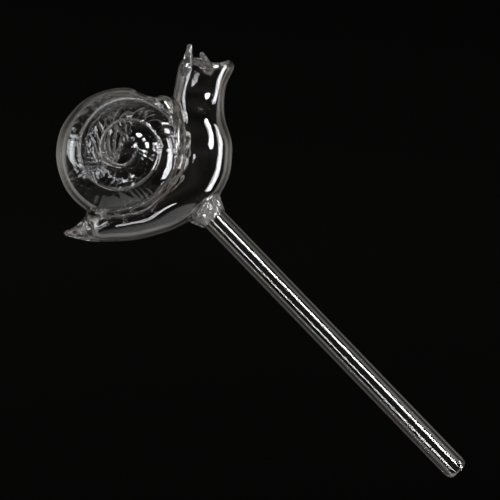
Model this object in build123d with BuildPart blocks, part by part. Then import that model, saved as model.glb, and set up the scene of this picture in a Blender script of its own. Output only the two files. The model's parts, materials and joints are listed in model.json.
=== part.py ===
from build123d import *
import os
from collections import namedtuple
from math import atan2, cos, degrees, radians, sin

os.makedirs("parts", exist_ok=True)

# Glass thicknesses
blown_wall = 1.5
stem_wall = 1.2

# Stem: a straight tube that leaves the chest downwards and forwards
stem_radius = 4.5
stem_length = 126.0
stem_slope = 46.0
stem_flare = 0.7
flare_length = 2.5
seat_depth = 6.5
lip_length = 3.6
lip_straight = 0.8

# Weld collar round the top of the stem
collar_bead = 0.9
collar_bead_depth = 1.2
collar_skirt = 2.9
collar_skirt_depth = 6.0

# Shell: a lens with a spiral groove on both sides
shell_x = -34.1
shell_z = 23.9
shell_radius = 24.5
shell_half_width = 17.0
shell_rim_radius = 11.0
spiral_shift_x = 3.7
spiral_shift_z = 1.3
spiral_start_radius = 18.5
spiral_pitch = 8.0
spiral_half_turns = 5
groove_width = 1.5
groove_depth = 0.8
rim_dip_angle = 20.0
rim_dip_depth = 1.2
rim_dip_radius = 21.0

# Fused band between shell and body, widest at the shell's mouth
seal_width = 2.3
seal_shift_x = 1.2
seal_shift_z = 0.8
seal_rise = 0.4

# Bead that fills the crease between the shell's rim and the neck
crease_angle = 41.4
crease_inset = 1.7
crease_radius = 4.5
crease_width = 12.0
crease_round = 3.4

# Body: cross-sections from the tail to the crown of the head
Section = namedtuple("Section", "outer_x outer_z inner_x inner_z half_width")
body_sections = [
    Section(-45.3, -8.3, -47.9, 0.7, 3.9),
    Section(-40.9, -8.4, -40.9, 7.0, 6.7),
    Section(-29.4, -7.7, -30.9, 10.7, 8.9),
    Section(-19.1, -5.2, -23.9, 14.4, 10.0),
    Section(-9.1, -0.6, -19.1, 18.9, 10.7),
    Section(4.3, 13.0, -16.5, 26.3, 11.0),
    Section(6.5, 23.7, -15.7, 29.2, 11.2),
    Section(5.2, 32.9, -15.7, 33.7, 10.6),
    Section(3.4, 41.8, -15.7, 40.3, 8.8),
    Section(3.8, 47.0, -15.0, 46.6, 7.5),
    Section(5.5, 52.2, -14.1, 52.9, 7.9),
    Section(7.2, 56.1, -12.8, 57.7, 7.7),
    Section(5.7, 58.6, -10.5, 59.4, 5.4),
]

# Dip across the crown, between the snout and the tentacles
dip_x = -0.3
dip_depth = 1.8
dip_radius = 9.0

# Tail tip: a solid point drawn out behind the foot
tail_length = 8.1
tail_drop = 1.6
tail_shoulder = 0.6
tail_neck_radius = 0.9
tail_bead_radius = 1.1

# Tentacles: solid rods, each on a pad on the side of the head
tentacle_tip_radius = 0.95
tentacle_root_radius = 2.1
pad_radius = 2.4
pad_height = 1.3
right_pad = Vector(-10.3, -5.6, 54.7)
right_tip = Vector(-8.9, -7.0, 63.9)
left_pad = Vector(-2.4, 7.2, 56.2)
left_tip = Vector(-5.4, 11.5, 62.6)

# Frames and sizes that follow from those above
stem_direction = Vector(cos(radians(stem_slope)), 0, -sin(radians(stem_slope)))
stem_side = Vector(sin(radians(stem_slope)), 0, cos(radians(stem_slope)))
stem_axis = Axis((0, 0, 0), stem_direction)
stem_section = Plane((0, 0, 0), x_dir=stem_side, z_dir=(0, 1, 0))
bore_radius = stem_radius - stem_wall
flare_radius = stem_radius + stem_flare
collar_bead_radius = stem_radius + collar_bead
collar_skirt_radius = stem_radius + collar_skirt
lip_end = stem_length + lip_length
lip_round = stem_wall / 4
shell_centre = Vector(shell_x, 0, shell_z)
spiral_centre = shell_centre + Vector(spiral_shift_x, 0, spiral_shift_z)
seal_centre = shell_centre + Vector(seal_shift_x, 0, seal_shift_z)
rim_dip_side = Vector(sin(radians(rim_dip_angle)), 0, cos(radians(rim_dip_angle)))
rim_dip_reach = shell_radius - rim_dip_depth + rim_dip_radius
cut_length = 4 * shell_half_width
crease_side = Vector(sin(radians(crease_angle)), 0, cos(radians(crease_angle)))
crease_centre = shell_centre + crease_side * (shell_radius - crease_inset)
port_radius = flare_radius - stem_wall
port_depth = 2 * seat_depth
crown = body_sections[-1]
dip_floor = (crown.outer_z + crown.inner_z) / 2 - dip_depth


def section_frame(section, shift):
    """The plane of a body section moved along the body by shift, and the section's half height."""
    outer = Vector(section.outer_x, 0, section.outer_z)
    inner = Vector(section.inner_x, 0, section.inner_z)
    across = (outer - inner).normalized()
    along = across.cross(Vector(0, 1, 0))
    centre = (outer + inner) / 2 + along * shift
    return Plane(centre, x_dir=across, z_dir=along), (outer - inner).length / 2


def body_shape(inset):
    """The body's outer form taken in by inset on all sides, with the dip across its crown."""
    last = len(body_sections) - 1
    with BuildPart() as form:
        for place, section in enumerate(body_sections):
            shift = {0: inset, last: -inset}.get(place, 0)
            plane, half_height = section_frame(section, shift)
            with BuildSketch(plane):
                Ellipse(half_height - inset, section.half_width - inset)
        loft()
        with Locations((dip_x, 0, dip_floor + dip_radius)):
            Cylinder(dip_radius + inset, cut_length, rotation=(90, 0, 0), mode=Mode.SUBTRACT)
    return form.part


def lens(centre, growth):
    """A lens of two round sides and a round rim with a dip, about centre, grown on all sides by growth."""
    rim_centre = shell_radius - shell_rim_radius
    side_radius = (rim_centre**2 + shell_half_width**2 - shell_rim_radius**2) / (
        2 * (shell_half_width - shell_rim_radius)
    )
    side_centre = side_radius - shell_half_width
    meeting = degrees(atan2(side_centre, rim_centre))
    with BuildPart() as form:
        with BuildSketch(Plane(centre, x_dir=(1, 0, 0), z_dir=(0, 0, 1))):
            with BuildLine():
                CenterArc((0, -side_centre), side_radius + growth, meeting, 90 - meeting)
                CenterArc((rim_centre, 0), shell_rim_radius + growth, -meeting, 2 * meeting)
                CenterArc((0, side_centre), side_radius + growth, -90, 90 - meeting)
                Line((0, -shell_half_width - growth), (0, shell_half_width + growth))
            make_face()
        revolve(axis=Axis(centre, (0, 1, 0)))
        with Locations(centre + rim_dip_side * rim_dip_reach):
            Cylinder(rim_dip_radius - growth, cut_length, rotation=(90, 0, 0), mode=Mode.SUBTRACT)
    return form.part


def tentacle(pad, tip):
    """A rod from pad to tip with a round end, on a flat round pad."""
    along = (tip - pad).normalized()
    side = along.cross(Vector(0, 1, 0)).normalized()
    length = (tip - pad).length
    shoulder = (tentacle_tip_radius, length - tentacle_tip_radius)
    with BuildPart() as form:
        with BuildSketch(Plane(pad, x_dir=side, z_dir=side.cross(along))):
            with BuildLine():
                Polyline((0, length), (0, 0), (tentacle_root_radius, 0), shoulder)
                RadiusArc(shoulder, (0, length), -tentacle_tip_radius)
            make_face()
        revolve(axis=Axis(pad, along))
        with BuildSketch(Plane(pad, x_dir=(1, 0, 0), z_dir=(0, 0, 1))):
            Ellipse(pad_radius, pad_height)
            split(bisect_by=Plane.YZ)
        revolve(axis=Axis(pad, (0, 1, 0)))
    return form.part


# Solid forms that the pieces are cut from
body_form = body_shape(0)
body_hollow = body_shape(blown_wall)
body_swelling = body_shape(-seal_rise)
shell_form = lens(shell_centre, 0)
shell_hollow = lens(shell_centre, -blown_wall)
groove_floor = lens(shell_centre, -groove_depth)
seal_form = lens(seal_centre, seal_width)

with BuildPart() as crease_bead:
    with Locations(crease_centre):
        Cylinder(crease_radius, crease_width, rotation=(90, 0, 0))
    fillet(crease_bead.edges().filter_by(GeomType.CIRCLE), crease_round)

with BuildPart() as stem_form:
    with BuildSketch(stem_section):
        with BuildLine():
            Polyline(
                (0, -seat_depth),
                (flare_radius, -seat_depth),
                (flare_radius, -flare_length),
                (stem_radius, 0),
                (stem_radius, stem_length),
                (0, stem_length),
                close=True,
            )
        make_face()
    revolve(axis=stem_axis)

# Body
with BuildPart() as body:
    add(body_form)
    add(body_hollow, mode=Mode.SUBTRACT)
    add(seal_form, mode=Mode.SUBTRACT)
    add(crease_bead.part, mode=Mode.SUBTRACT)
    add(stem_form.part, mode=Mode.SUBTRACT)
    with BuildSketch(Plane((0, 0, 0), z_dir=stem_direction)):
        Circle(port_radius)
    extrude(amount=-port_depth, mode=Mode.SUBTRACT)
body.part.label = "body"
export_step(body.part, "parts/body.step")

# Fused band between the body and the shell, with the bead in its crease
with BuildPart() as shell_seal:
    add(body_swelling)
    add(seal_form, mode=Mode.INTERSECT)
    add(crease_bead.part)
    add(body_hollow, mode=Mode.SUBTRACT)
    add(shell_form, mode=Mode.SUBTRACT)
shell_seal.part.label = "shell_seal"
export_step(shell_seal.part, "parts/shell_seal.step")

# Shell
with BuildPart() as spiral_groove:
    with BuildSketch(Plane(spiral_centre, x_dir=(1, 0, 0), z_dir=(0, -1, 0))):
        for half_turn in range(spiral_half_turns):
            upper = half_turn % 2 == 0
            with BuildLine() as suture:
                CenterArc(
                    (0 if upper else -spiral_pitch / 2, 0),
                    spiral_start_radius - half_turn * spiral_pitch / 2,
                    0 if upper else 180,
                    180,
                )
            trace(suture.line, groove_width)
    extrude(amount=shell_half_width, both=True)
    add(groove_floor, mode=Mode.SUBTRACT)

with BuildPart() as shell:
    add(shell_form)
    add(spiral_groove.part, mode=Mode.SUBTRACT)
    add(shell_hollow, mode=Mode.SUBTRACT)
    add(body_hollow, mode=Mode.SUBTRACT)
shell.part.label = "shell"
export_step(shell.part, "parts/shell.step")

# Stem tube
with BuildPart() as stem_tube:
    add(stem_form.part)
    with BuildSketch(stem_section):
        with BuildLine():
            Polyline(
                (0, -seat_depth),
                (port_radius, -seat_depth),
                (port_radius, -flare_length),
                (bore_radius, 0),
                (bore_radius, stem_length),
                (0, stem_length),
                close=True,
            )
        make_face()
    revolve(axis=stem_axis, mode=Mode.SUBTRACT)
stem_tube.part.label = "stem_tube"
export_step(stem_tube.part, "parts/stem_tube.step")

# Fire-polished lip
with BuildPart() as mouth_lip:
    with BuildSketch(stem_section):
        with BuildLine():
            Polyline(
                (bore_radius, lip_end - lip_round),
                (bore_radius, stem_length),
                (stem_radius, stem_length),
                (stem_radius, stem_length + lip_straight),
            )
            TangentArc(
                (stem_radius, stem_length + lip_straight),
                (bore_radius + 2 * lip_round, lip_end - lip_round),
                tangent=(0, 1),
            )
            CenterArc((bore_radius + lip_round, lip_end - lip_round), lip_round, 0, 180)
        make_face()
    revolve(axis=stem_axis)
mouth_lip.part.label = "mouth_lip"
export_step(mouth_lip.part, "parts/mouth_lip.step")

# Weld collar
with BuildPart() as stem_collar:
    with BuildSketch(stem_section):
        with BuildLine():
            Spline(
                (stem_radius, 0),
                (collar_bead_radius, -collar_bead_depth),
                (collar_skirt_radius, -collar_skirt_depth),
            )
            Polyline(
                (collar_skirt_radius, -collar_skirt_depth),
                (bore_radius, -collar_skirt_depth),
                (bore_radius, 0),
                (stem_radius, 0),
            )
        make_face()
    revolve(axis=stem_axis)
    add(stem_form.part, mode=Mode.SUBTRACT)
    add(body_form, mode=Mode.SUBTRACT)
stem_collar.part.label = "stem_collar"
export_step(stem_collar.part, "parts/stem_collar.step")

# Tail tip
tail_plane, tail_half_height = section_frame(body_sections[0], 0)
tail_half_width = body_sections[0].half_width
tail_reach = Vector(-tail_length, 0, -tail_drop)
tail_end = tail_plane.origin + tail_reach
with BuildPart() as tail_tip:
    with BuildSketch(tail_plane):
        Ellipse(tail_half_height, tail_half_width)
    with BuildSketch(Plane(tail_plane.origin + tail_reach / 2, x_dir=(0, 0, -1), z_dir=(1, 0, 0))):
        Ellipse(tail_half_height * tail_shoulder, tail_half_width * tail_shoulder)
    with BuildSketch(Plane(tail_end, x_dir=(0, 0, -1), z_dir=(1, 0, 0))):
        Circle(tail_neck_radius)
    loft()
    with Locations(tail_end):
        Sphere(tail_bead_radius)
    add(seal_form, mode=Mode.SUBTRACT)
tail_tip.part.label = "tail_tip"
export_step(tail_tip.part, "parts/tail_tip.step")

# Tentacles
with BuildPart() as right_tentacle:
    add(tentacle(right_pad, right_tip))
    add(body_form, mode=Mode.SUBTRACT)
right_tentacle.part.label = "right_tentacle"
export_step(right_tentacle.part, "parts/right_tentacle.step")

with BuildPart() as left_tentacle:
    add(tentacle(left_pad, left_tip))
    add(body_form, mode=Mode.SUBTRACT)
left_tentacle.part.label = "left_tentacle"
export_step(left_tentacle.part, "parts/left_tentacle.step")
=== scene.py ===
import json
import math

import bmesh
import bpy
import numpy as np
from mathutils import Matrix, Vector
from mathutils.bvhtree import BVHTree

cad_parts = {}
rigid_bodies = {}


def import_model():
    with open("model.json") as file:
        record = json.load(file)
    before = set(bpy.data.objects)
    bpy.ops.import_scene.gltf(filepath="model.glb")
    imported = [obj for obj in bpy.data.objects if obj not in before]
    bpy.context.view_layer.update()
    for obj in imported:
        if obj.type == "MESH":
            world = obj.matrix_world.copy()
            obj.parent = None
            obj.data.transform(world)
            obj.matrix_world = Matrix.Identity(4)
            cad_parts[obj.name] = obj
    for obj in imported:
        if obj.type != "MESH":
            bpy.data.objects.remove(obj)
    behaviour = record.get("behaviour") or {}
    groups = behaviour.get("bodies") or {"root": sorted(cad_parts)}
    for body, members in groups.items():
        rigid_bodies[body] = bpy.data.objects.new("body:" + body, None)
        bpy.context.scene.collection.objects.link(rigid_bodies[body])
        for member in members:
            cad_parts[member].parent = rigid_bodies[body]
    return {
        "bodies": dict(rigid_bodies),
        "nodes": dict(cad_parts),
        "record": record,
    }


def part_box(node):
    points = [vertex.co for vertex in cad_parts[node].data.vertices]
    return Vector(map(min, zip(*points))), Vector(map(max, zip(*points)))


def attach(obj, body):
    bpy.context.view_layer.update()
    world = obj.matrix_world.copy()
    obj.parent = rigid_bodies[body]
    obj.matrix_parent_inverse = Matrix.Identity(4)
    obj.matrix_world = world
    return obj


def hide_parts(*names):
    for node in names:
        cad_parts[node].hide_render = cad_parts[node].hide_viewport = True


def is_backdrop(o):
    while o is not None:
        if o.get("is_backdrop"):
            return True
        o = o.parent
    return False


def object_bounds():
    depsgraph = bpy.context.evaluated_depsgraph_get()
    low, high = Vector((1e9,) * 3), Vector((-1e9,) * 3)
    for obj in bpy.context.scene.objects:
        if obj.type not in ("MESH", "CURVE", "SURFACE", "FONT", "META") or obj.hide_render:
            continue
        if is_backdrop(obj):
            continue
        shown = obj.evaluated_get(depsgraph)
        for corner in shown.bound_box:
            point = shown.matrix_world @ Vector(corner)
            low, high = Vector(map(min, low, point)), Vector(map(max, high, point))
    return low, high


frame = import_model()
cad_low, cad_high = (list(corner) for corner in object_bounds())
root = next(iter(frame["bodies"]))
slots = {part["node"]: part["material_slot"] for part in frame["record"]["subparts"]}
MM = 0.001
TINY = 1e-6

# Shell's outer face, about the centre that the shell's own box gives, and how far its sides reach
shell_low, shell_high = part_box("shell")
SHELL_RADIUS = 24.5 * MM
SHELL_HALF_WIDTH = (shell_high[1] - shell_low[1]) / 2
SHELL_RIM_RADIUS = 11.0 * MM
SHELL_WALL = 1.5 * MM
SHELL_CENTRE = np.array([shell_low[0] + SHELL_RADIUS, 0.0, shell_high[2] - SHELL_RADIUS])
OUTER_DEPTH = 0.75 * SHELL_WALL
SIDE_REACH = 21.5 * MM
SIDE_FADE = 1.5 * MM

# Whorls and the spiral line between them. The near side faces the camera. The far side's line has
# shares of the near one's depth and frost
SPIRAL_CENTRE = SHELL_CENTRE + np.array([3.7, 0.0, 1.3]) * MM
SPIRAL_START = 18.5 * MM
SPIRAL_PITCH = 8.0 * MM
NEAR_WHORL_DEPTH = 0.35 * MM
FAR_WHORL_DEPTH = 0.4 * MM
FAR_WHORL_SKEW = 1.5
LINE_DEPTH = 0.45 * MM
LINE_WIDTH = 0.42 * MM
LINE_STRENGTH = (1.0, 0.25, 0.05, 0.0)
LINE_LEAST_DEPTH = 0.3
LINE_FADE_END = math.radians(110)
LINE_FADE_SPAN = math.radians(40)
LINE_END_STRENGTH = 0.2
LINE_FROST = 0.6
FAR_LINE_DEPTH = 0.2
FAR_LINE_FROST = 0.4

# Ribs across the whorls, from the outermost whorl inwards: how many to a full turn, how high, and the
# angle that they lean by from one turn of the line to the next. The waves of their unevenness, here and
# in the fan, are counted to a full turn
RIBS_PER_TURN = (36, 22, 12, 7)
NEAR_RIBS = (0.14 * MM, 0.24 * MM, 0.16 * MM, 0.05 * MM)
FAR_RIBS = (0.22 * MM, 0.42 * MM, 0.08 * MM, 0.03 * MM)
NEAR_LEAN = (0.3, 0.4, 0.3, 0.0)
FAR_LEAN = (0.2, 1.0, 0.6, 0.0)
RIB_JITTER = 0.09
RIB_JITTER_WAVES = (5, 8)
RIB_JITTER_PHASES = (1.3, 2.1)
RIB_SWELL = 0.25
RIB_SWELL_WAVES = 4
RIB_SWELL_PHASE = 0.6
RIB_SHARPNESS = 0.95
RIB_ENDS = (0.06, 0.94)
RIM_FADE = 9 * MM

# Fan of lapped ribs on the shell's far side, round a point low on the left. FAN_TILT is the slope to
# the right that their faces are given, FAN_BOWL the radius of the wall that they lie on, and
# FAN_BEND_RATE the radians of a bend in each metre
FAN_POINT = SPIRAL_CENTRE + np.array([-9.5, 0.0, -10.0]) * MM
FAN_COUNT = 40
FAN_RISE = 0.85
FAN_TILT = 0.76
FAN_SLOPE = (0.1, 0.7)
FAN_BOWL = 27.7 * MM
FAN_BOWL_LEAST = 10 * MM
FAN_JITTER = 0.03
FAN_JITTER_WAVES = 7
FAN_JITTER_PHASE = 1
FAN_BEND = 0.02
FAN_BEND_WAVES = 5
FAN_BEND_RATE = 700
FAN_SPAN = (math.radians(62), math.radians(168))
FAN_SPAN_FADE = 0.2
FAN_LENGTH = 23 * MM
FAN_LENGTH_FADE = 4 * MM
FAN_WHORL_FADE = 1 / 8

# Worked glass: the passes that smooth each fused piece, how cloudy the hand-set ones are, and
# unevenness as the length of its waves, their height and a seed
VOXEL = 0.26 * MM
BLEND = 1.2 * MM
ISLAND_FACES = 200
RELAX_STEP = 0.5
RETURN_STEP = -0.52
PASSES = {
    "body": 50,
    "shell": 50,
    "shell_seal": 40,
    "stem_collar": 6,
    "tail_tip": 10,
    "right_tentacle": 4,
    "left_tentacle": 4,
}
FROST = {
    "shell_seal": 0.0,
    "stem_collar": 0.1,
    "tail_tip": 0.05,
    "right_tentacle": 0.1,
    "left_tentacle": 0.1,
}
WOBBLE_WAVES = 10
WOBBLE_SPREAD = (0.6, 1.4)
SKIN_WAVES = (16 * MM, 0.2 * MM, 4)
WAVES = {
    "shell_seal": (5 * MM, 0.12 * MM, 5),
    "stem_collar": (2.4 * MM, 0.3 * MM, 7),
    "tail_tip": (5 * MM, 0.12 * MM, 11),
    "right_tentacle": (2.4 * MM, 0.16 * MM, 13),
    "left_tentacle": (2.4 * MM, 0.16 * MM, 17),
}

# Glass: the two tints that it drifts between, its bumps' scale and depth, and its least and most
# roughness
GLASSES = {
    "blown_glass": ((0.97, 0.985, 0.99), (0.99, 0.985, 0.975), 90.0, 0.02 * MM, 0.0, 0.02),
    "tube_glass": ((0.98, 0.985, 0.985), (0.99, 0.985, 0.98), 50.0, 0.004 * MM, 0.0, 0.01),
    "weld_glass": ((0.99, 0.96, 0.94), (0.985, 0.98, 0.975), 300.0, 0.12 * MM, 0.02, 0.08),
    "rod_glass": ((0.985, 0.965, 0.95), (0.985, 0.98, 0.975), 160.0, 0.06 * MM, 0.0, 0.03),
}
GLASS_IOR = 1.47
DRIFT_SCALE = 60.0
DRIFT_DETAIL = 3.0
TINT_RANGE = (0.35, 0.7)
POLISH_RANGE = (0.3, 0.7)
FROST_ROUGHNESS = 0.35
FROST_CLOUD = 0.4
BUMP_DETAIL = 2.0
BUMP_STRENGTH = 0.4


def vectors(mesh, name):
    """Every vertex's place, by the name co, or its normal, one to a row."""
    values = np.empty(len(mesh.vertices) * 3)
    mesh.vertices.foreach_get(name, values)
    return values.reshape(-1, 3)


def whole_numbers(items, name, each=1):
    """A property of every edge, face or corner of a mesh, where it is one or more whole numbers each."""
    values = np.empty(len(items) * each, dtype=np.int64)
    items.foreach_get(name, values)
    return values


def fade(value, width):
    """Goes from 0 to 1 as the value goes from 0 to the width."""
    return np.clip(value / width, 0, 1)


def fused_skin(names):
    """One even, closed skin round CAD nodes that are melted together."""
    whole = bmesh.new()
    for name in names:
        source = frame["nodes"][name]
        mesh = source.data.copy()
        mesh.transform(source.matrix_world)
        whole.from_mesh(mesh)
        bpy.data.meshes.remove(mesh)
    rough = bpy.data.meshes.new("rough")
    whole.to_mesh(rough)
    whole.free()
    holder = bpy.data.objects.new("holder", rough)
    bpy.context.scene.collection.objects.link(holder)
    remesh = holder.modifiers.new("even", "REMESH")
    remesh.mode = "VOXEL"
    remesh.voxel_size = VOXEL
    depsgraph = bpy.context.evaluated_depsgraph_get()
    skin = bpy.data.meshes.new_from_object(holder.evaluated_get(depsgraph))
    bpy.data.objects.remove(holder)
    bpy.data.meshes.remove(rough)
    return skin


def distances(name, points):
    """How far each point lies from a CAD node's surface, as far as BLEND past the node's box."""
    source = frame["nodes"][name]
    corners = [source.matrix_world @ vertex.co for vertex in source.data.vertices]
    tree = BVHTree.FromPolygons(corners, [face.vertices[:] for face in source.data.polygons])
    low, high = (np.array(corner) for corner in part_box(name))
    close = np.all((points > low - BLEND) & (points < high + BLEND), axis=1)
    found = np.full(len(points), np.inf)
    found[close] = [tree.find_nearest(point)[3] for point in points[close].tolist()]
    return found


def relaxed(mesh, points, passes):
    """Smooths a skin without shrinking it: each point goes towards its neighbours and back."""
    count = len(points)
    ends = whole_numbers(mesh.edges, "vertices", 2).reshape(-1, 2)
    degree = np.maximum(np.bincount(ends.ravel(), minlength=count), 1).reshape(-1, 1)
    for turn in range(2 * passes.max()):
        total = np.zeros_like(points)
        for axis in range(3):
            total[:, axis] = np.bincount(ends[:, 0], points[ends[:, 1], axis], count)
            total[:, axis] += np.bincount(ends[:, 1], points[ends[:, 0], axis], count)
        step = RELAX_STEP if turn % 2 == 0 else RETURN_STEP
        busy = (turn < 2 * passes).reshape(-1, 1)
        points = points + busy * step * (total / degree - points)
    return points


def lens_depth(points):
    """How far each point lies inside the shell's outer face, and that face's normal there."""
    rim_centre = SHELL_RADIUS - SHELL_RIM_RADIUS
    side_radius = (rim_centre**2 + SHELL_HALF_WIDTH**2 - SHELL_RIM_RADIUS**2) / (
        2 * (SHELL_HALF_WIDTH - SHELL_RIM_RADIUS)
    )
    side_centre = side_radius - SHELL_HALF_WIDTH
    out = points - SHELL_CENTRE
    spread = np.hypot(out[:, 0], out[:, 2])
    side = np.abs(out[:, 1])
    on_side = np.arctan2(side + side_centre, spread) > math.atan2(side_centre, rim_centre)
    reach = np.where(on_side, spread, spread - rim_centre)
    rise = np.where(on_side, side + side_centre, side)
    length = np.maximum(np.hypot(reach, rise), TINY)
    depth = np.where(on_side, side_radius, SHELL_RIM_RADIUS) - length
    flat = reach / length / np.maximum(spread, TINY)
    normal = np.column_stack([out[:, 0] * flat, np.sign(out[:, 1]) * rise / length, out[:, 2] * flat])
    return depth, normal


def within_sides(points):
    """1 over the shell's sides, fading to 0 towards its rim."""
    spread = np.hypot(points[:, 0] - SHELL_CENTRE[0], points[:, 2] - SHELL_CENTRE[2])
    return fade(SIDE_REACH - spread, SIDE_FADE)


def spiral_place(points):
    """Each point's whorl, its place across that whorl from 0 to 1, and its angle about the spiral."""
    local = points - SPIRAL_CENTRE
    upper = local[:, 2] >= 0
    x = np.where(upper, local[:, 0], local[:, 0] + SPIRAL_PITCH / 2)
    radius = np.hypot(x, local[:, 2])
    start = np.where(upper, SPIRAL_START, SPIRAL_START - SPIRAL_PITCH / 2)
    turns = (start - radius) / SPIRAL_PITCH
    across = np.where(turns < 0, np.minimum(-turns, 0.5), turns % 1.0)
    whorl = np.clip(np.floor(turns).astype(int) + 1, 0, len(RIBS_PER_TURN) - 1)
    return whorl, across, np.arctan2(local[:, 2], x)


def spiral_line(points):
    """How close each point is to the spiral line on the shell's sides, from 0 to 1."""
    across = spiral_place(points)[1]
    gap = np.minimum(across, 1 - across) * SPIRAL_PITCH / LINE_WIDTH
    return np.exp(-gap * gap) * within_sides(points)


def line_strength(points):
    """How plain the spiral line is: full over the top and left of the outer turn, fainter further in."""
    whorl, across, angle = spiral_place(points)
    turn = np.maximum(whorl - 1, 0) + (across > 0.5) * (whorl > 0)
    strength = np.array(LINE_STRENGTH)[np.minimum(turn, len(LINE_STRENGTH) - 1)]
    ending = np.clip((-angle - LINE_FADE_END) / LINE_FADE_SPAN, LINE_END_STRENGTH, 1)
    return strength * np.where((turn == 0) & (angle < 0), ending, 1.0)


def fan(points):
    """The far side's fan of lapped ribs, each rising to the right, and how far they take over there."""
    x = points[:, 0] - FAN_POINT[0]
    z = points[:, 2] - FAN_POINT[2]
    length = np.hypot(x, z)
    angle = np.arctan2(z, x)
    uneven = angle + FAN_JITTER * np.sin(FAN_JITTER_WAVES * angle + FAN_JITTER_PHASE)
    uneven += FAN_BEND * np.sin(length * FAN_BEND_RATE + FAN_BEND_WAVES * angle)
    step = (-uneven * FAN_COUNT / (2 * math.pi)) % 1.0
    rise = np.where(step < FAN_RISE, step / FAN_RISE, (1 - step) / (1 - FAN_RISE)) - 0.5
    out = points - SHELL_CENTRE
    bowl = np.sqrt(np.maximum(FAN_BOWL**2 - out[:, 0] ** 2 - out[:, 2] ** 2, FAN_BOWL_LEAST**2))
    slope = (FAN_TILT + out[:, 0] / bowl) * np.sin(angle) - out[:, 2] / bowl * np.cos(angle)
    height = np.clip(slope, *FAN_SLOPE) * FAN_RISE * length * 2 * math.pi / FAN_COUNT
    whorl, across, _ = spiral_place(points)
    share = fade(angle - FAN_SPAN[0], FAN_SPAN_FADE) * fade(FAN_SPAN[1] - angle, FAN_SPAN_FADE)
    share *= fade(length, FAN_LENGTH_FADE) * fade(FAN_LENGTH - length, FAN_LENGTH_FADE)
    share *= np.where(whorl == 0, 0.0, np.where(whorl == 1, fade(across, FAN_WHORL_FADE), 1.0))
    return rise * height, share * (points[:, 1] > 0)


def shell_relief(points):
    """Trues up the shell's wall, rounds its whorls and sinks the line and the furrows between ribs."""
    depth, normal = lens_depth(points)
    outer = depth < OUTER_DEPTH
    trued = (depth - np.where(outer, 0.0, SHELL_WALL)) * within_sides(points)
    whorl, across, angle = spiral_place(points)
    far = points[:, 1] > 0
    off_rim = fade(np.abs(points[:, 1]), RIM_FADE)
    whorl_depth = np.where(far, FAR_WHORL_DEPTH, NEAR_WHORL_DEPTH)
    skewed = np.where(far, across**FAR_WHORL_SKEW, across)
    swell = -0.5 * whorl_depth * (1 + np.cos(2 * math.pi * skewed)) * off_rim
    line = -LINE_DEPTH * spiral_line(points) * outer * np.where(far, FAR_LINE_DEPTH, 1.0)
    line *= LINE_LEAST_DEPTH + (1 - LINE_LEAST_DEPTH) * line_strength(points)
    count = np.array(RIBS_PER_TURN)[whorl]
    lean = np.where(far, np.array(FAR_LEAN)[whorl], np.array(NEAR_LEAN)[whorl])
    height = np.where(far, np.array(FAR_RIBS)[whorl], np.array(NEAR_RIBS)[whorl])
    uneven = angle + RIB_JITTER * np.sin(RIB_JITTER_WAVES[0] * angle + RIB_JITTER_PHASES[0] * whorl)
    uneven += RIB_JITTER * np.sin(RIB_JITTER_WAVES[1] * angle + RIB_JITTER_PHASES[1])
    wave = np.cos(count * (uneven - lean * across))
    furrow = np.where(far, np.arcsin(RIB_SHARPNESS * wave) / math.pi, 0.5 * wave) - 0.5
    furrow *= 1 - RIB_SWELL + RIB_SWELL * np.sin(RIB_SWELL_WAVES * angle + RIB_SWELL_PHASE)
    ribs = height * furrow * np.sin(math.pi * np.clip(across, *RIB_ENDS)) * off_rim
    fan_ribs, share = fan(points)
    ribs = ribs * (1 - share) + fan_ribs * share
    return normal * (trued + swell + line + ribs)[:, None]


def wobble(size, amount, seed):
    """Slow, hand-made unevenness: a sum of waves about as long as size, in directions drawn from seed."""
    draw = np.random.default_rng(seed)
    ways = draw.normal(size=(WOBBLE_WAVES, 3))
    ways *= 2 * math.pi / (size * np.linalg.norm(ways, axis=1, keepdims=True))
    ways *= draw.uniform(*WOBBLE_SPREAD, size=(WOBBLE_WAVES, 1))
    pushes = draw.normal(size=(WOBBLE_WAVES, 3)) * amount / math.sqrt(WOBBLE_WAVES)
    phases = draw.uniform(0, 2 * math.pi, size=WOBBLE_WAVES)

    def shift(points):
        """How far each point is moved."""
        return np.sin(points @ ways.T + phases) @ pushes

    return shift


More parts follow.
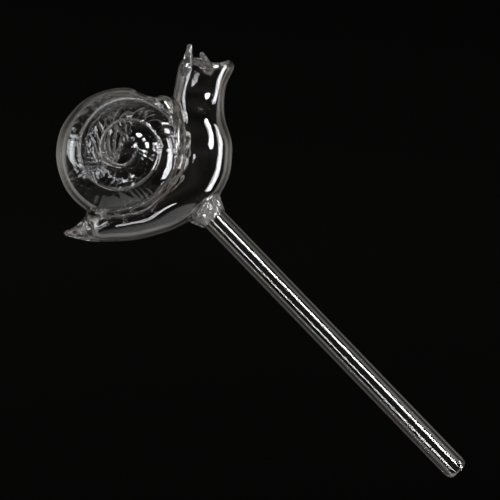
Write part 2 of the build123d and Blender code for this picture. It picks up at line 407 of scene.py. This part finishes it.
def glass(name, tint, tint_two, bump_scale, bump_depth, rough_low, rough_high):
    """Clear worked glass: a little tint that drifts, soft bumps and faint variation in polish."""
    material = bpy.data.materials.new(name)
    material.use_nodes = True
    nodes = material.node_tree.nodes
    links = material.node_tree.links
    shader = nodes["Principled BSDF"]
    shader.inputs["IOR"].default_value = GLASS_IOR
    coordinates = nodes.new("ShaderNodeTexCoord")
    drift = nodes.new("ShaderNodeTexNoise")
    drift.inputs["Scale"].default_value = DRIFT_SCALE
    drift.inputs["Detail"].default_value = DRIFT_DETAIL
    links.new(coordinates.outputs["Object"], drift.inputs["Vector"])
    ramp = nodes.new("ShaderNodeValToRGB")
    for mark, position, colour in zip(ramp.color_ramp.elements, TINT_RANGE, (tint, tint_two)):
        mark.position = position
        mark.color = (*colour, 1.0)
    links.new(drift.outputs["Fac"], ramp.inputs["Fac"])
    links.new(ramp.outputs["Color"], shader.inputs["Base Color"])
    polish = nodes.new("ShaderNodeMapRange")
    polish.inputs["From Min"].default_value = POLISH_RANGE[0]
    polish.inputs["From Max"].default_value = POLISH_RANGE[1]
    polish.inputs["To Min"].default_value = rough_low
    polish.inputs["To Max"].default_value = rough_high
    links.new(drift.outputs["Fac"], polish.inputs["Value"])
    frost = nodes.new("ShaderNodeAttribute")
    frost.attribute_name = "frost"
    haze = nodes.new("ShaderNodeMath")
    haze.operation = "MULTIPLY_ADD"
    haze.inputs[1].default_value = FROST_ROUGHNESS
    links.new(frost.outputs["Fac"], haze.inputs[0])
    links.new(polish.outputs["Result"], haze.inputs[2])
    links.new(haze.outputs["Value"], shader.inputs["Roughness"])
    clear = nodes.new("ShaderNodeMath")
    clear.operation = "MULTIPLY_ADD"
    clear.inputs[1].default_value = -FROST_CLOUD
    clear.inputs[2].default_value = 1.0
    links.new(frost.outputs["Fac"], clear.inputs[0])
    links.new(clear.outputs["Value"], shader.inputs["Transmission Weight"])
    waves = nodes.new("ShaderNodeTexNoise")
    waves.inputs["Scale"].default_value = bump_scale
    waves.inputs["Detail"].default_value = BUMP_DETAIL
    links.new(coordinates.outputs["Object"], waves.inputs["Vector"])
    bump = nodes.new("ShaderNodeBump")
    bump.inputs["Strength"].default_value = BUMP_STRENGTH
    bump.inputs["Distance"].default_value = bump_depth
    links.new(waves.outputs["Fac"], bump.inputs["Height"])
    links.new(bump.outputs["Normal"], shader.inputs["Normal"])
    return material


def whole_patches(mesh, owners):
    """Gives each small island of faces to the piece round it, and small closed bubbles to none."""
    edges = whole_numbers(mesh.loops, "edge_index")
    totals = whole_numbers(mesh.polygons, "loop_total")
    faces = np.repeat(np.arange(len(totals)), totals)
    order = np.argsort(edges, kind="stable")
    paired = edges[order][1:] == edges[order][:-1]
    first = faces[order][:-1][paired]
    second = faces[order][1:][paired]
    inside = owners[first] == owners[second]
    island = np.arange(len(totals))
    settled = False
    while not settled:
        one = island[first[inside]]
        two = island[second[inside]]
        merged = island.copy()
        np.minimum.at(merged, one, np.minimum(one, two))
        np.minimum.at(merged, two, np.minimum(one, two))
        merged = merged[merged]
        settled = np.array_equal(merged, island)
        island = merged
    small = np.bincount(island, minlength=len(totals))[island] < ISLAND_FACES
    taker = np.full(len(totals), -1)
    for near, far in ((first, second), (second, first)):
        border = small[near] & ~small[far]
        taker[island[near[border]]] = owners[far[border]]
    return np.where(small, taker[island], owners)


def patch(name, mesh, normals, frost, chosen):
    """The named piece's share of the fused skin, with the whole skin's normals so that no join shows."""
    starts = whole_numbers(mesh.polygons, "loop_start")[chosen]
    totals = whole_numbers(mesh.polygons, "loop_total")[chosen]
    corners = whole_numbers(mesh.loops, "vertex_index")
    faces = [corners[start : start + total] for start, total in zip(starts, totals)]
    used = np.unique(np.concatenate(faces))
    number = np.full(len(mesh.vertices), -1)
    number[used] = np.arange(len(used))
    share = bpy.data.meshes.new(name)
    share.from_pydata(vectors(mesh, "co")[used].tolist(), [], [number[face].tolist() for face in faces])
    share.shade_smooth()
    share.normals_split_custom_set_from_vertices(normals[used].tolist())
    cloud = share.attributes.new("frost", "FLOAT", "POINT")
    cloud.data.foreach_set("value", frost[used].astype(np.float32))
    piece = bpy.data.objects.new(name, share)
    bpy.context.scene.collection.objects.link(piece)
    return piece


materials = {name: glass(name, *look) for name, look in GLASSES.items()}

# The fused pieces share one skin, because melted glass has no face inside where two pieces meet
fused = list(PASSES)
shell_index = fused.index("shell")
skin = fused_skin(fused)
points = vectors(skin, "co")
gaps = np.array([distances(name, points) for name in fused])
owner = np.argmin(gaps, axis=0)
points = relaxed(skin, points, np.array(list(PASSES.values()))[owner])
to_others = np.delete(gaps, shell_index, axis=0).min(axis=0)
on_shell = (owner == shell_index) * fade(to_others, BLEND)
shift = shell_relief(points) * on_shell[:, None] + wobble(*SKIN_WAVES)(points)
outside = np.where(points[:, 1] > 0, FAR_LINE_FROST, 1.0) * (lens_depth(points)[0] < OUTER_DEPTH)
frost = LINE_FROST * spiral_line(points) * line_strength(points) * on_shell * outside
for name, waves in WAVES.items():
    close = 1 - fade(gaps[fused.index(name)], BLEND)
    shift += wobble(*waves)(points) * close[:, None]
    frost = np.maximum(frost, FROST[name] * close)
skin.vertices.foreach_set("co", (points + shift).ravel())
skin.update()
skin_normals = vectors(skin, "normal")
first_corner = np.array([face.vertices[0] for face in skin.polygons])
face_owner = whole_patches(skin, owner[first_corner])
for index, name in enumerate(fused):
    piece = patch(name + "_glass", skin, skin_normals, frost, face_owner == index)
    piece.data.materials.append(materials[slots[name]])
    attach(piece, root)
    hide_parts(name)
bpy.data.meshes.remove(skin)

# The stem and its lip are the CAD nodes themselves
for name in ("stem_tube", "mouth_lip"):
    carried = frame["nodes"][name]
    carried.data.materials.clear()
    carried.data.materials.append(materials[slots[name]])

# Floor, well below the object and out of the camera's view
FLOOR_DROP = 900 * MM
FLOOR_RADIUS = 0.72
FLOOR_CORNERS = 96
FLOOR_COLOUR = (0.65, 0.65, 0.64, 1.0)
FLOOR_ROUGHNESS = 0.7
bpy.ops.mesh.primitive_circle_add(
    vertices=FLOOR_CORNERS,
    radius=FLOOR_RADIUS,
    fill_type="NGON",
    location=((cad_low[0] + cad_high[0]) / 2, 0.0, cad_low[2] - FLOOR_DROP),
)
floor = bpy.context.object
floor.name = "floor"
floor_paint = bpy.data.materials.new("floor_paint")
floor_paint.use_nodes = True
floor_shader = floor_paint.node_tree.nodes["Principled BSDF"]
floor_shader.inputs["Base Color"].default_value = FLOOR_COLOUR
floor_shader.inputs["Roughness"].default_value = FLOOR_ROUGHNESS
floor.data.materials.append(floor_paint)
floor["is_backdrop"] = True

# Studio light: a tall strip on the right, a leaning one in front for the stem, and a low one for the
# foot
COOL = (0.97, 0.98, 1.0)
STEM_AIM = 0.115
middle = Vector(((cad_low[0] + cad_high[0]) / 2, 0.0, (cad_low[2] + cad_high[2]) / 2))
mounts = {mount["name"]: mount for mount in frame["record"]["mounts"]}
stem_aim = Vector(mounts["stem"]["axis"]) * STEM_AIM


def softbox(name, aim, azimuth, elevation, width, height, power, lean=0):
    """A soft area light that faces aim from 1 m away, in the camera's direction where azimuth is 0.

    Lean tips its top to the left, as seen from behind the lamp.
    """
    data = bpy.data.lights.new(name, "AREA")
    data.shape = "RECTANGLE"
    data.size = width
    data.size_y = height
    data.energy = power
    data.color = COOL
    lamp = bpy.data.objects.new(name, data)
    bpy.context.scene.collection.objects.link(lamp)
    turn = math.radians(azimuth)
    rise = math.radians(elevation)
    away = Vector((math.sin(turn) * math.cos(rise), -math.cos(turn) * math.cos(rise), math.sin(rise)))
    across = Vector((math.cos(turn), math.sin(turn), 0.0))
    up = away.cross(across)
    tilt = math.radians(lean)
    height_way = up * math.cos(tilt) - across * math.sin(tilt)
    width_way = height_way.cross(away)
    lamp.location = aim + away
    lamp.rotation_euler = Matrix((width_way, height_way, away)).transposed().to_euler()


softbox("key_strip", middle, azimuth=74, elevation=-2.5, width=0.28, height=1.1, power=17.4)
softbox(
    "stem_strip",
    stem_aim,
    azimuth=29.5,
    elevation=25.5,
    width=0.28,
    height=0.36,
    power=10.0,
    lean=36,
)
softbox("low_strip", middle, azimuth=-8, elevation=-36, width=0.45, height=0.1, power=1.6)

# A dim room all round, lighter on the left, as stops of degrees and brightness. ROOM goes by the angle
# from straight behind the object as the camera sees it, where it is dark, and HEIGHTS by the angle
# above level
WARM = (1.0, 0.94, 0.88)
DARK = 0.0025
ROOM = ((10.7, DARK), (13, 0.2), (20, 0.29), (31, 0.12), (54, 0.16), (108, 0.1), (180, 0.08))
HEIGHTS = (
    (-90, 0.1),
    (-27, 0.1),
    (-9, 0.6),
    (0, 1.0),
    (9, 0.55),
    (24, 0.1),
    (33, 0.15),
    (48, 1.0),
    (90, 1.0),
)
LEFT_GAIN = 0.35
world = bpy.data.worlds.new("studio")
bpy.context.scene.world = world
world.use_nodes = True
world_nodes = world.node_tree.nodes
world_links = world.node_tree.links


def maths(operation, first, second, third=0.0):
    """A node of the world that works out one number from linked or plain values."""
    node = world_nodes.new("ShaderNodeMath")
    node.operation = operation
    for socket, value in zip(node.inputs, (first, second, third)):
        if isinstance(value, float):
            socket.default_value = value
        else:
            world_links.new(value, socket)
    return node.outputs["Value"]


def ramp_of(stops, least, most, value):
    """A ramp of the world, from stops of (angle in degrees, brightness)."""
    node = world_nodes.new("ShaderNodeValToRGB")
    marks = node.color_ramp.elements
    while len(marks) < len(stops):
        marks.new(0.5)
    for mark, (angle, brightness) in zip(marks, stops):
        mark.position = (angle - least) / (most - least)
        mark.color = (brightness, brightness, brightness, 1.0)
    world_links.new(value, node.inputs["Fac"])
    return node.outputs["Color"]


way = world_nodes.new("ShaderNodeTexCoord")
axes = world_nodes.new("ShaderNodeSeparateXYZ")
world_links.new(way.outputs["Generated"], axes.inputs["Vector"])
behind = maths("DIVIDE", maths("ARCCOSINE", axes.outputs["Y"], 0.0), math.pi)
upward = maths("MULTIPLY_ADD", maths("ARCSINE", axes.outputs["Z"], 0.0), 1 / math.pi, 0.5)
glow = maths("MULTIPLY", ramp_of(ROOM, 0, 180, behind), ramp_of(HEIGHTS, -90, 90, upward))
gain = maths("MULTIPLY_ADD", axes.outputs["X"], -LEFT_GAIN, 1.0)
background = world_nodes["Background"]
background.inputs["Color"].default_value = (*WARM, 1.0)
world_links.new(maths("MULTIPLY", glow, gain), background.inputs["Strength"])

# Camera at the photograph's viewing angle
FRAME_WIDTH = 185 * MM
AIM = Vector((13.1 * MM, 0.0, -11.5 * MM))
DISTANCE = 0.7
SENSOR_WIDTH = 36.0
camera_data = bpy.data.cameras.new("camera")
camera_data.lens = SENSOR_WIDTH * DISTANCE / FRAME_WIDTH
camera_data.sensor_width = SENSOR_WIDTH
camera = bpy.data.objects.new("camera", camera_data)
bpy.context.scene.collection.objects.link(camera)
camera.location = AIM + Vector((0.0, -DISTANCE, 0.0))
camera.rotation_euler = (AIM - camera.location).to_track_quat("-Z", "Y").to_euler()
bpy.context.scene.camera = camera
bpy.context.scene.view_settings.view_transform = "Standard"
